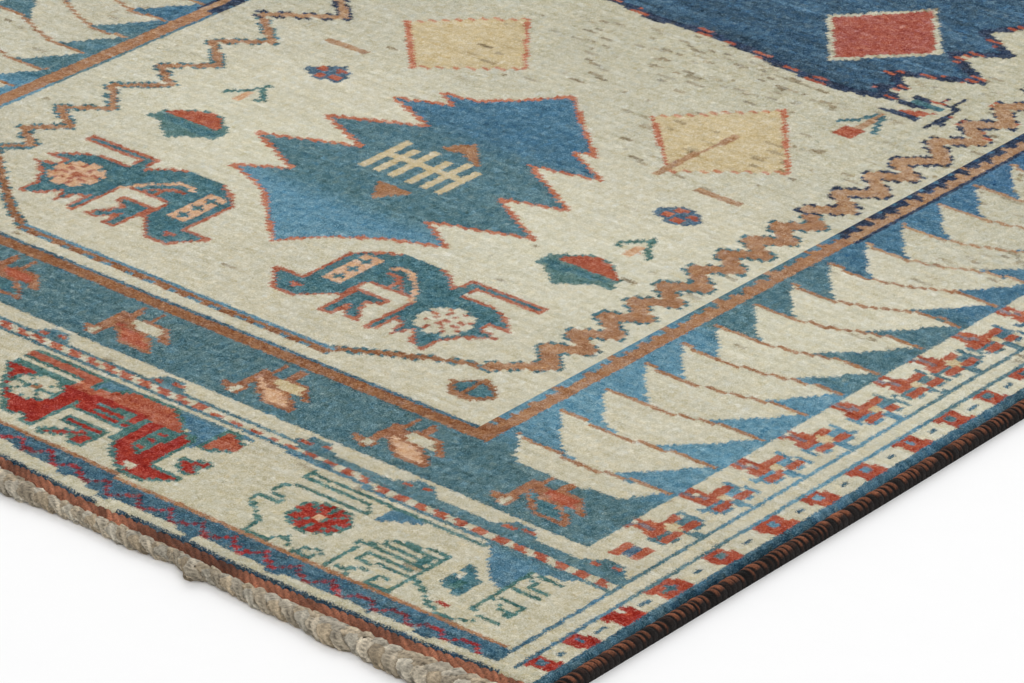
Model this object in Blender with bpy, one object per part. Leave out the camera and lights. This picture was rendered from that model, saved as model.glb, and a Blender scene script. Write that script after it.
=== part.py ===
"""A hand-knotted gabbeh rug lying flat: its pile slab, overcast side cords, twined bands and plaited ends.

Metres, +Z up. X runs across the rug and Y along it. The origin is on the floor under its middle.
The front end is at -Y. The rug is the same seen from either end, so each edge piece is used twice,
the second time turned half round.
"""

import math

import bmesh
import bpy

# Driving sizes
RUG_WIDTH = 1.074  # over both side cords
WOVEN_LENGTH = 1.960  # between the twined bands, before the ends draw in
PILE_HEIGHT = 0.0085  # carpet with its worn pile
CORD_WIDTH = 0.0100  # overcast side cord
CORD_HEIGHT = 0.0096
BAND_WIDTH = 0.0108  # twined band beyond the pile
BAND_HEIGHT = 0.0066
PLAIT_HEIGHT = 0.0080  # plaited warp ends beyond the band
GAP = 0.0003  # kept between pieces that meet

# Unevenness
PILE_ROUND = 0.0035  # the pile's shorn edge
PILE_LUMP = 0.0004  # low swells in the pile
CORD_SWAY = 0.0012  # the side cords are not quite straight
CORD_LUMP = 0.0005
BAND_LUMP = 0.0007
BAND_LUMP_PITCH = 0.018
PLAIT_RIDGE = 0.0018  # how far the crossings stand above the dips

# Facets
COLUMNS = 42  # across the rug; every edge at the ends bends only at these
ROUND_STEPS = 3
PILE_ROWS = 20  # inside the rounded edges
CORD_SPANS = (80, 5)  # along and over
BAND_SPANS = (3 * COLUMNS, 3)
PLAIT_SPANS = (5 * COLUMNS, 4)
PLAIT_STEPS = 3  # spans along one crossing

# How far the front end is drawn in, in millimetres: distance from the right edge, drawn in
END_LINE = (
    (0, 8.0), (42, 4.5), (72, 1.5), (112, -1.0), (152, -2.0), (192, -4.5), (242, -5.0), (292, -3.0),
    (332, -3.5), (372, -5.0), (412, -2.0), (452, 0.5), (512, 2.0), (600, -1.0), (700, -3.5),
    (800, -4.5), (900, -2.0), (980, -1.0), (1030, 4.0), (1074, 8.0),
)

# The plait's outer edge, in millimetres: distance from the right edge, reach beyond the woven length
PLAIT_EDGE = (
    (0, 18.0), (20, 25.0), (72, 31.0), (92, 30.0), (112, 29.0), (127, 26.0), (142, 30.0), (152, 29.0),
    (172, 25.5), (202, 26.0), (232, 23.0), (254, 22.0), (260, 29.0), (270, 22.0), (282, 18.0),
    (292, 21.0), (322, 23.0), (352, 21.0), (392, 22.0), (412, 25.0), (460, 23.5), (510, 22.0),
    (560, 24.0), (610, 22.0), (650, 25.5), (700, 22.0), (750, 25.0), (790, 27.5), (830, 23.0),
    (880, 25.0), (930, 28.0), (990, 27.0), (1040, 25.0), (1074, 18.0),
)

HALF_WIDTH = RUG_WIDTH / 2
HALF_LENGTH = WOVEN_LENGTH / 2
COLUMN = RUG_WIDTH / COLUMNS


def between(low, high, share):
    return low + (high - low) * share


def eased(table, place):
    """The table's value at a place, eased from each row to the next; both are in millimetres."""
    for (start, low), (end, high) in zip(table, table[1:]):
        if place <= end:
            share = max(0.0, (place - start) / (end - start))
            return between(low, high, share * share * (3 - 2 * share))
    return table[-1][1]


def front_line(x):
    """Y of the front end of the pile at X, straight from one column to the next."""
    place = (HALF_WIDTH - x) / COLUMN
    column = min(COLUMNS - 1, max(0, math.floor(place)))
    near = eased(END_LINE, column * COLUMN * 1000)
    far = eased(END_LINE, (column + 1) * COLUMN * 1000)
    return -HALF_LENGTH + between(near, far, place - column) / 1000


def plait_line(x):
    """Y of the outer edge of the front plait at X."""
    return -HALF_LENGTH - eased(PLAIT_EDGE, (HALF_WIDTH - x) * 1000) / 1000


def end_station(i, spans):
    """X of one station along an end, from left to right, kept inside the swaying side cords."""
    reach = HALF_WIDTH - CORD_SWAY
    return max(-reach, min(reach, between(-HALF_WIDTH, HALF_WIDTH, i / spans)))


def sway(y):
    """How far the right edge stands in from the full width at Y; never negative."""
    wave = 0.6 * math.sin(2 * math.pi * y / 0.83 + 0.7) + 0.4 * math.sin(2 * math.pi * y / 0.31 + 2.1)
    return CORD_SWAY * (1 - wave) / 2


def right_edge(y):
    return HALF_WIDTH - sway(y)


def cloth_material(name, colour, roughness):
    material = bpy.data.materials.new(name)
    material.use_nodes = True
    shader = material.node_tree.nodes["Principled BSDF"]
    shader.inputs["Base Color"].default_value = (*colour, 1)
    shader.inputs["Roughness"].default_value = roughness
    shader.inputs["Metallic"].default_value = 0
    material.diffuse_color = (*colour, 1)
    return material


def laid_piece(name, spans, place, material):
    """A closed piece with a flat underside on the floor. place(i, j) gives the points of its top."""
    bm = bmesh.new()
    bmesh.ops.create_grid(bm, x_segments=spans[0], y_segments=spans[1], size=1)
    for vert in bm.verts:
        i = round((vert.co.x + 1) / 2 * spans[0])
        j = round((vert.co.y + 1) / 2 * spans[1])
        vert.co = place(i, j)
    extruded = bmesh.ops.extrude_face_region(bm, geom=bm.faces[:])
    under = [part for part in extruded["geom"] if isinstance(part, bmesh.types.BMVert)]
    for vert in under:
        vert.co.z = 0
    floor_faces = [face for face in bm.faces if all(vert.co.z == 0 for vert in face.verts)]
    merged = bmesh.ops.dissolve_faces(bm, faces=floor_faces)
    bmesh.ops.triangulate(bm, faces=merged["region"], ngon_method="BEAUTY")
    bmesh.ops.recalc_face_normals(bm, faces=bm.faces[:])
    mesh = bpy.data.meshes.new(name)
    bm.to_mesh(mesh)
    bm.free()
    mesh.shade_smooth()
    mesh.set_sharp_from_angle(angle=math.radians(50))
    mesh.materials.append(material)
    piece = bpy.data.objects.new(name, mesh)
    bpy.data.collections["gabbeh_rug"].objects.link(piece)
    return piece


def turned_copy(piece, name):
    """The same piece at the opposite side or end: turned half round about the middle of the rug."""
    copy = bpy.data.objects.new(name, piece.data)
    copy.rotation_euler.z = math.pi
    bpy.data.collections["gabbeh_rug"].objects.link(copy)
    return copy


def rounded_edge():
    """Distances in from a shorn edge of the pile, with how far its top has dropped at each."""
    steps = [math.pi / 2 * step / ROUND_STEPS for step in range(ROUND_STEPS + 1)]
    return [(PILE_ROUND * (1 - math.cos(turn)), PILE_ROUND * (1 - math.sin(turn))) for turn in steps]


def pile_rows(edge):
    """For each row of the pile's top: its share of the length and how far the top has dropped."""
    low = [(distance / WOVEN_LENGTH, drop) for distance, drop in edge]
    middle = [(row / PILE_ROWS, 0.0) for row in range(1, PILE_ROWS)]
    high = [(1 - share, drop) for share, drop in reversed(low)]
    return low + middle + high


def pile_columns(edge, y):
    """For each column of the pile's top at Y: its X and how far the top has dropped."""
    inset = CORD_WIDTH + GAP
    left = [(inset + distance - right_edge(-y), drop) for distance, drop in edge]
    middle = [(between(-HALF_WIDTH, HALF_WIDTH, i / COLUMNS), 0.0) for i in range(1, COLUMNS)]
    right = [(right_edge(y) - inset - distance, drop) for distance, drop in reversed(edge)]
    return left + middle + right


def pile_rug(material):
    """The knotted rug between its side cords and twined bands, in one piece."""
    edge = rounded_edge()
    rows = pile_rows(edge)
    columns = [pile_columns(edge, between(-HALF_LENGTH, HALF_LENGTH, share)) for share, _ in rows]

    def place(i, j):
        share, row_drop = rows[j]
        x, column_drop = columns[j][i]
        y = between(front_line(x), -front_line(-x), share)
        swell = math.sin(9.1 * x + 3.3 * y + 0.4) * math.sin(5.3 * y - 4.1 * x)
        return (x, y, PILE_HEIGHT - max(row_drop, column_drop) + PILE_LUMP * swell)

    return laid_piece("pile_rug", (len(columns[0]) - 1, len(rows) - 1), place, material)


def side_cord(material):
    """The overcast cord along the right edge; its wraps are finer than these solids show."""
    along, over = CORD_SPANS
    start = front_line(HALF_WIDTH) + GAP
    end = -front_line(-HALF_WIDTH) - GAP

    def place(i, j):
        share = i / along
        y = between(start, end, share)
        lump = CORD_LUMP * math.sin(2 * math.pi * y / 0.117 + 0.5) * math.sin(2 * math.pi * y / 0.283)
        angle = math.pi * (j / over)
        middle = right_edge(y) - CORD_WIDTH / 2
        x = middle + math.cos(angle) * CORD_WIDTH / 2
        z = CORD_HEIGHT * (0.34 + 0.66 * math.sin(angle)) + lump * math.sin(angle)
        return (x, y, z)

    return laid_piece("selvedge_right", CORD_SPANS, place, material)


def twined_band(material):
    """The twined band beyond the pile at the front end, full width, with its low lumps."""
    along, over = BAND_SPANS

    def place(i, j):
        x = end_station(i, along)
        y = front_line(x) - GAP - BAND_WIDTH * (1 - j / over)
        arch = math.sin(math.pi * (0.18 + 0.64 * j / over))
        lump = math.cos(2 * math.pi * x / BAND_LUMP_PITCH + j) * math.sin(5 * x + 1)
        return (x, y, BAND_HEIGHT * arch + BAND_LUMP * lump)

    return laid_piece("twined_band_front", BAND_SPANS, place, material)


def plaited_end(material):
    """The plaited warp ends along the front, with a ridge at each crossing of the plait."""
    along, over = PLAIT_SPANS

    def place(i, j):
        x = end_station(i, along)
        share = j / over
        inner = front_line(x) - BAND_WIDTH - 2 * GAP
        y = between(plait_line(x), inner, share)
        slant = 0.9 * abs(share - 0.5)
        ridge = 0.5 + 0.5 * math.cos(2 * math.pi * (i / PLAIT_STEPS + slant))
        arch = math.sin(math.pi * (0.12 + 0.76 * share))
        return (x, y, arch * (PLAIT_HEIGHT - PLAIT_RIDGE * (1 - ridge)))

    return laid_piece("plaited_end_front", PLAIT_SPANS, place, material)


def clear_scene():
    for item in list(bpy.data.objects):
        bpy.data.objects.remove(item)


def build():
    clear_scene()
    collection = bpy.data.collections.new("gabbeh_rug")
    bpy.context.scene.collection.children.link(collection)
    wool = cloth_material("pile_wool", (0.60, 0.56, 0.45), 0.95)
    cord_wool = cloth_material("selvedge_wool", (0.035, 0.025, 0.022), 0.9)
    rust = cloth_material("twined_wool", (0.33, 0.14, 0.075), 0.9)
    warp = cloth_material("warp_yarn", (0.40, 0.36, 0.29), 0.9)
    pile_rug(wool)
    turned_copy(side_cord(cord_wool), "selvedge_left")
    turned_copy(twined_band(rust), "twined_band_back")
    turned_copy(plaited_end(warp), "plaited_end_back")


build()
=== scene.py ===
"""A gabbeh rug on a pale floor: pile laid knot by knot, overcast sides, twined bands and plaited warp ends.

The chart gives the rug's front half. The back half is the same chart turned half round.
Chart places are centimetres: across from the right edge, up from the front end.
"""
import math

import bpy
import numpy as np
from mathutils import Matrix, Vector


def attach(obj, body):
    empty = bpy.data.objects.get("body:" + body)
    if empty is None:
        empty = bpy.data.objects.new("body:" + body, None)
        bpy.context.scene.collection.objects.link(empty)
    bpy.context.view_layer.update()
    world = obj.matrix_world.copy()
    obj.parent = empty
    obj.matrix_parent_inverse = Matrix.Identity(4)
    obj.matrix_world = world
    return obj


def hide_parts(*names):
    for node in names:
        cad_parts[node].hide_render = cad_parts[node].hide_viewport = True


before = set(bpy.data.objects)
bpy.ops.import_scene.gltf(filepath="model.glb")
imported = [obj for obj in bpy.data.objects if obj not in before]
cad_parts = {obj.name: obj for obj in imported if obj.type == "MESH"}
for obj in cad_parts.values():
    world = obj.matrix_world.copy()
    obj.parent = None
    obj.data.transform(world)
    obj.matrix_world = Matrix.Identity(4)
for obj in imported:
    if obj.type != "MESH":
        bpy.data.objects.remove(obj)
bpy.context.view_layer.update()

SEED = 7

# Sizes of the knotted rug, in metres
RUG_HALF_WIDTH = 0.537
HALF_LENGTH = 0.980
EDGE_LINE = 0.545  # the chart counts across from here
PILE_HEIGHT = 0.0085
PILE_ROUND = 0.0035
CORD_WIDTH = 0.0100
CORD_HEIGHT = 0.0096
BAND_WIDTH = 0.0108
BAND_HEIGHT = 0.0066
BAND_LAP = 0.0020  # how far the band leans over the first knots
PLAIT_HEIGHT = 0.0080
PLAIT_LAP = 0.0022  # how far the plait leans over the band
GAP = 0.0003

# Knots
KNOT = 0.0034  # across
ROWS = 568
BORDER_KNOTS = 70
OUTSIDE = 0.5  # a strip that reaches further from the middle than this ends at a side cord
WAVE_REACH = 0.04  # rows follow the wavy end this far in
STRAY = (0.00030, 0.00028)  # how far knots stray across and along
UNEVEN = 0.00022  # height of knots and band
PILE_LUMP = 0.0004  # low swells in the pile

# Chart, in centimetres
FAR = 109.0  # the left edge line
HALF_UP = 98.0
ROW_STEP = 0.345
THIN = 0.34  # a line one knot wide
LEFT_LEAVES = (0.4, 0.93)  # how far the left border's leaves are lifted, and how wide they are
LEFT_STRIPE = -1.05  # how far the left brown stripe is moved from the right one's place, mirrored

# Wool colours as they look in soft light, 0 to 255
WOOL = {
    "ivory": (200, 194, 170),
    "cream": (198, 182, 146),
    "blue": (84, 126, 146),
    "edge blue": (60, 94, 110),
    "middle blue": (68, 104, 122),
    "dark edge": (42, 70, 84),
    "slate": (72, 98, 116),
    "mauve": (124, 112, 116),
    "deep teal": (66, 106, 114),
    "navy": (38, 52, 74),
    "end navy": (54, 76, 90),
    "deep blue": (56, 86, 108),
    "brown": (140, 94, 62),
    "sandy brown": (160, 118, 86),
    "pale tan": (168, 133, 101),
    "bird edge": (148, 99, 70),
    "salmon": (204, 164, 130),
    "tan": (198, 181, 143),
    "red": (148, 42, 31),
    "check red": (160, 72, 50),
    "flower red": (166, 87, 62),
    "rose": (158, 82, 68),
    "maroon": (120, 46, 50),
    "crimson": (146, 42, 44),
    "orange": (164, 86, 62),
    "outline": (180, 110, 82),
    "soft outline": (188, 132, 102),
    "beast edge": (165, 98, 74),
    "green": (68, 108, 103),
    "bud green": (84, 117, 114),
}
NAMES = list(WOOL)
WEFT = (128, 112, 84)  # the ground that shows where the pile is worn
CORD_DARK = (31, 27, 26)
CORD_RUST = (134, 82, 58)
BAND_LIGHT = (172, 110, 82)
BAND_DEEP = (98, 58, 42)
WARP_PALE = (212, 203, 184)
WARP_WARM = (196, 178, 150)
BUNDLE_WARP = (194, 180, 154)


# Chart drawing

def between(low, high, share):
    return low + (high - low) * share


def eased(share):
    share = np.clip(share, 0, 1)
    return share * share * (3 - 2 * share)


def drift_at(across, up):
    """How far the rows of the end have crept up, growing to the left."""
    return 0.5 * eased((across - 36 + 0.7 * up) / 12) * eased((14.2 - up) / 1.8)


def moved(points, across, up=0.0):
    return [(a + across, b + up) for a, b in points]


class Chart:
    """Knots as colour numbers, with each knot's place on the chart."""

    def __init__(self, knots, across, up):
        self.knots = knots
        self.across = across
        self.up = up

    def mirrored(self):
        """The same knots, counted from the left edge."""
        return Chart(self.knots, FAR - self.across, self.up)

    def shifted(self, across, up=0.0):
        """The same knots, counted from another place."""
        return Chart(self.knots, self.across - across, self.up - up)

    def fill(self, colour, where):
        self.knots[where] = NAMES.index(colour)

    def box(self, colour, across, up):
        inside = (self.across >= across[0]) & (self.across < across[1])
        self.fill(colour, inside & (self.up >= up[0]) & (self.up < up[1]))

    def shape(self, colour, points):
        """A filled outline through the points."""
        inside = np.zeros(self.knots.shape, bool)
        for (a1, b1), (a2, b2) in zip(points, points[1:] + points[:1]):
            if b1 != b2:
                crossing = a1 + (self.up - b1) * (a2 - a1) / (b2 - b1)
                inside ^= ((b1 > self.up) != (b2 > self.up)) & (self.across < crossing)
        self.fill(colour, inside)

    def line(self, colour, points, width=0.36):
        """A run of knots along the points."""
        near = np.zeros(self.knots.shape, bool)
        for (a1, b1), (a2, b2) in zip(points, points[1:]):
            run = (a2 - a1) ** 2 + (b2 - b1) ** 2 or 1.0
            share = ((self.across - a1) * (a2 - a1) + (self.up - b1) * (b2 - b1)) / run
            share = np.clip(share, 0, 1)
            away = np.hypot(self.across - a1 - share * (a2 - a1), self.up - b1 - share * (b2 - b1))
            near |= away < width / 2
        self.fill(colour, near)

    def outlined(self, colour, edge, points, width=0.4):
        self.shape(colour, points)
        self.line(edge, points + points[:1], width)

    def oval(self, colour, middle, radii):
        a = (self.across - middle[0]) / radii[0]
        b = (self.up - middle[1]) / radii[1]
        self.fill(colour, a * a + b * b < 1)

    def rosette(self, colour, gap, middle, radii, petals, narrow=-0.35):
        """A round flower: petals of one colour set in another, with gaps between them and round them."""
        a = (self.across - middle[0]) / radii[0]
        b = (self.up - middle[1]) / radii[1]
        reach = np.hypot(a, b)
        self.fill(gap, reach < 1)
        petal = np.cos(petals * np.arctan2(b, a) + math.pi) > narrow
        self.fill(colour, (reach > 0.22) & (reach < 0.88) & petal)

    def curve(self, colour, edge, width, span):
        """A band of knots about a height that changes across, between two places across."""
        inside = (self.across > span[0]) & (self.across < span[1])
        self.fill(colour, inside & (np.abs(self.up - edge) < width / 2))


# Side borders

def check_guard(side):
    """Red and ivory checks beside the side cord, each with a blue dot."""
    side.box("edge blue", (0, 2.55), (0, HALF_UP))
    side.box("dark edge", (0, 2.2), (13, 25))
    side.box("middle blue", (0, 2.55), (27.3, 47))
    reds = [(1.9, 3.6), (5.5, 7.2), (9.1, 11.4), (13.2, 15.9), (18.6, 20.7), (23.5, 26.1)]
    reds += [(28.3, 30.4), (32.9, 35.2), (37.8, 39.9), (42.2, 44.3), (46.4, 48.1)]
    while reds[-1][0] < HALF_UP:
        reds.append((reds[-1][0] + 4, reds[-1][1] + 4.1))
    lean = 0.3
    for number, (low, high) in enumerate(reds):
        red = "red" if number < 3 else "check red"
        side.shape(red, [(2.5, low + lean), (4.2, low - 0.1), (4.2, high - lean), (2.5, high + 0.1)])
        middle = (3.55, (low + high) / 2)
        if number == 2:
            side.line("ivory", [(4.3, 10.3), (3.6, 10.5)], 0.3)
        elif number == 3:
            side.shape("blue", [(3.4, 13.8), (2.95, 14.6), (3.4, 15.3), (3.85, 14.6)])
        else:
            side.oval("blue", middle, (0.36, THIN))
        if number + 1 < len(reds):
            rest = (high + reds[number + 1][0]) / 2
            side.box("edge blue", (3.05, 3.4), (rest - 0.4, rest + 0.4))


def guard_lines(side):
    for line in (4.25, 5.6):
        side.box("blue", (line, line + 0.3), (0.9, HALF_UP))


def flower(side):
    """One red flower of the outer border: petals in two columns round a tan heart, with a stem and a leaf."""
    side.box("blue", (6.6, 6.93), (-1.2, -0.3))
    side.box("blue", (6.6, 6.93), (1.1, 1.9))
    side.line("blue", [(7, -1.55), (8.3, -1.75)], THIN)
    side.box("blue", (7.61, 7.95), (-1.6, 0))
    side.box("blue", (7.61, 8.29), (0.8, 1.9))
    side.box("flower red", (6.93, 7.61), (-1.3, 0.3))
    side.box("flower red", (6.93, 7.61), (0.7, 2))
    side.box("flower red", (7.95, 8.97), (-1.45, 0.1))
    side.box("flower red", (8.29, 8.97), (0.1, 1.75))
    side.oval("tan", (7.95, 0.4), (0.52, 0.45))
    side.line("blue", [(5.9, 0.6), (6.9, 0.45)], 0.6)
    side.line("blue", [(6.9, 2.35), (9, 1.95)])
    side.shape("flower red", [(8.9, 0.3), (8.9, -0.3), (10.3, -0.6), (10.3, -0.1)])
    side.line("mauve", [(8.9, -0.5), (10.3, -0.9)])
    side.line("flower red", [(9, -0.9), (10.2, -1.2)])


def flower_border(side):
    side.box("flower red", (6.93, 7.61), (15.9, 17.6))
    side.box("flower red", (8.29, 8.97), (15.7, 17.3))
    side.box("slate", (7.61, 8.29), (15.9, 17.4))
    ups = [20.1, 25.1, 30.3, 35.3, 40.6, 45.2, 49.1, 53.7]
    while ups[-1] < HALF_UP:
        ups.append(ups[-1] + 4.9)
    for up in ups:
        flower(side.shifted(0, up))


def leaf_tops():
    """Where the leaves' top lines start beside the field and end beside the flowers."""
    tops = [(23.6, 23.7), (27.8, 28.2), (32.1, 33), (36.3, 37.4), (40.1, 41.1), (43.8, 45.1)]
    tops += [(47.9, 49.8), (51.8, 54.1), (56, 58.2), (60.1, 62.1), (64.2, 66.2), (68.6, 70.3)]
    while tops[-1][0] < HALF_UP:
        tops.append((tops[-1][0] + 4.2, tops[-1][1] + 4.2))
    return tops


def leaf(side, inner, outer, line, stretch):
    """One cup-shaped leaf hanging from a sagging line; the one below covers its tip."""
    middle = between(inner, outer, 0.45) - 0.45
    outline = [
        (23, inner - 0.1), (22.2, inner - 1.2), (21.3, inner - 2.2), (20.4, inner - 3.4),
        (19.3, inner - 4.1), (17.4, inner - 4.7), (15.4, outer - 4.9), (14.7, outer - 4.1),
        (13.5, outer - 3), (12.2, outer - 1.4), (11.2, outer), (14.2, outer - 0.3), (17.2, middle),
        (20, inner - 0.3),
    ]
    top = [(23.2, inner), (20, inner - 0.25), (17.3, middle), (14.2, outer - 0.2), (12.4, outer + 0.1)]
    side.shape("ivory", stretched(outline, stretch))
    side.line(line, stretched(top + [(10.9, outer)], stretch), THIN)


def stretched(points, stretch):
    """Points of the leaf border moved in or out from its outer edge."""
    return [(10.2 + (across - 10.2) * stretch, up) for across, up in points]


def leaf_border(side, shift, stretch):
    side.box("blue", (10.2, 24), (15.2, HALF_UP))
    tops = [(inner + shift, outer + shift) for inner, outer in leaf_tops()]
    for inner, outer in reversed(tops[1:]):
        leaf(side, inner, outer, "sandy brown" if inner < 60 else "pale tan", stretch)


def lowest_leaf(side, shift, stretch):
    inner, outer = leaf_tops()[0]
    outline = [
        (22.9, inner - 0.1), (21.9, inner - 1.4), (21.5, inner - 2.3), (20.9, 20.8), (13.2, 20.9),
        (12.4, outer - 2), (11.9, outer - 1.2), (11.1, outer - 0.2), (14.2, outer - 0.5),
        (17.2, inner - 0.7),
    ]
    top = [
        (23.2, inner - 0.1), (20, inner - 0.35), (18.3, inner - 0.6), (16.3, inner - 0.6),
        (14.4, outer - 0.3), (12.4, outer + 0.1), (10.9, outer),
    ]
    side.shape("ivory", stretched(moved(outline, 0, shift), stretch))
    side.line("sandy brown", stretched(moved(top, 0, shift), stretch), THIN)


def field_edge(side, shift):
    """The brown stripe beside the field with its toothed blue edge, paler and navy further up."""
    across = side.across - shift
    row = np.floor(side.up / ROW_STEP)
    wide = np.sin(row * 1.55) > 0
    tooth = 0.36 * wide + THIN * wide * (np.sin(row * 0.39) > 0.6)
    tooth = (tooth - THIN * (np.sin(row * 0.77 + 1) > 0.85)) * (shift == 0)

    def stripe(colour, left, right, low, high=HALF_UP):
        inside = (side.up >= low) & (side.up < high)
        side.fill(colour, inside & (across >= left) & (across < right))

    stripe("blue", 24, 25.5 if shift else 25.75, 22.6)
    stripe("sandy brown", 24.05, 24.9 + tooth, 22.6)
    stripe("brown", 24.05, 24.9 + tooth, 21.4, 24.5)
    stripe("brown", 24.05, 25.75, 22.4, 23.3)
    if shift:
        stripe("sandy brown", 24.05, 25.2, 22.6)
    stripe("navy", 23.6, 25.7 - 0.4 * (np.sin(row * 1.35) > 0.75), 59.6)
    stripe("pale tan", 24, 24.6 + tooth, 59.6)


# End borders

def bird(chart, wing, belly):
    """One bird of the blue band, feet towards the field and head down."""
    edge = "bird edge"
    chart.line(edge, [(-0.75, 19.4), (-0.6, 20.75)], 0.5)
    chart.line(edge, [(-2.3, 19.4), (-2.15, 20.75)], 0.5)
    back = [(0.3, 19.7), (-0.7, 19.4), (-3.8, 19.7), (-5.6, 17.9), (-4.2, 18.2), (-1.6, 18), (-0.4, 18.6)]
    chart.shape(edge, back)
    inner = [(-1.2, 18.95), (-1.8, 19.35), (-3.6, 19.3), (-4.3, 18.5), (-3.6, 18.25), (-2.3, 18.3)]
    chart.shape(wing, inner)
    breast = [(0, 19), (-0.8, 17.9), (-2.6, 16.5), (-5.2, 16.5), (-4.5, 17.2), (-3.3, 18), (-1.6, 18.2)]
    chart.outlined(belly, edge, breast, THIN)
    neck = [(0.25, 19.5), (-0.5, 19.2), (-0.5, 18.2), (-0.8, 16.2), (-0.5, 15.8), (0.4, 16.1), (1.2, 16.8)]
    chart.shape(edge, neck + [(0.2, 17.1)])
    chart.oval("ivory", (-0.2, 16.4), (THIN, 0.4))


def bird_band(chart):
    chart.box("blue", (10.2, FAR - 10.2), (15.3, 21.5))
    wings = ("flower red", "ivory", "tan", "ivory")
    bellies = ("deep teal", "salmon", "salmon", "flower red")
    for number, at in enumerate((18.3, 29.9, 41.4, 54.2, 66.4, 78.6, 90.8)):
        bird(chart.shifted(at), wings[number % 4], bellies[number % 4])
    chart.box("brown", (24, FAR - 24), (21.4, 22.55))
    chart.box("edge blue", (25.7, FAR - 25.7), (22.55, 22.9))


def slanted_checks(chart):
    """The narrow guard: slanted red and ivory checks between blue lines, with low steps on top."""
    inside = (chart.across > 5.6) & (chart.across < FAR - 5.6)
    early = 0.4 * eased((chart.across - 24) / 6) * (1 - eased((chart.across - 28) / 11))
    up = chart.up - early
    chart.fill("blue", inside & (up >= 11.8) & (chart.up < 13.95))
    checks = inside & (up >= 12.2) & (up < 12.8 + 0.25 * eased((chart.across - 30) / 6))
    chart.fill("ivory", checks)
    checks &= up < 12.8 + 0.25 * eased((chart.across - 34) / 8)
    lean = np.where(chart.across < 42, -0.5, -0.9) * (up - 12.6)
    chart.fill("orange", checks & (np.mod(chart.across + lean, 1.62) < 0.95))
    for at in (7.9, 14.9, 23.2, 31.8, 44.8, 55.4, 65.5, 74.2, 83, 92.5, 101):
        step = chart.shifted(at)
        step.shape("blue", [(-1.7, 13.9), (-1, 14.5), (-0.7, 14.8), (0.7, 14.8), (1.1, 14.3), (1.7, 13.9)])
        step.oval("orange", (-0.65, 14.3), (0.42, 0.26))
        step.oval("orange", (0.75, 14.05), (0.42, 0.26))


def end_stripes(chart):
    """From the front: ivory, a blue stripe with a red zigzag, and a tan line."""
    lower = 0.95 + 0.18 * np.sin(chart.across * 1.3) * np.sin(chart.across * 0.37)
    inside = (chart.across > 5.6) & (chart.across < FAR - 5.6)
    chart.fill("blue", inside & (chart.up >= lower) & (chart.up < 2.76))
    chart.box("blue", (29.4, 30.2), (0.4, 1.2))
    chart.box("sandy brown", (6.2, FAR - 6.2), (2.76, 3.1))
    swing = np.abs(np.mod(chart.across / 2.75, 1) - 0.5) * 2
    chart.curve("maroon", 1.15 + swing, 0.36, (7, FAR - 7))
    bright = np.sin(chart.across * 0.8) + np.sin(chart.across * 0.31) > 0.2
    chart.fill("crimson", bright & (chart.knots == NAMES.index("maroon")))


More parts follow.
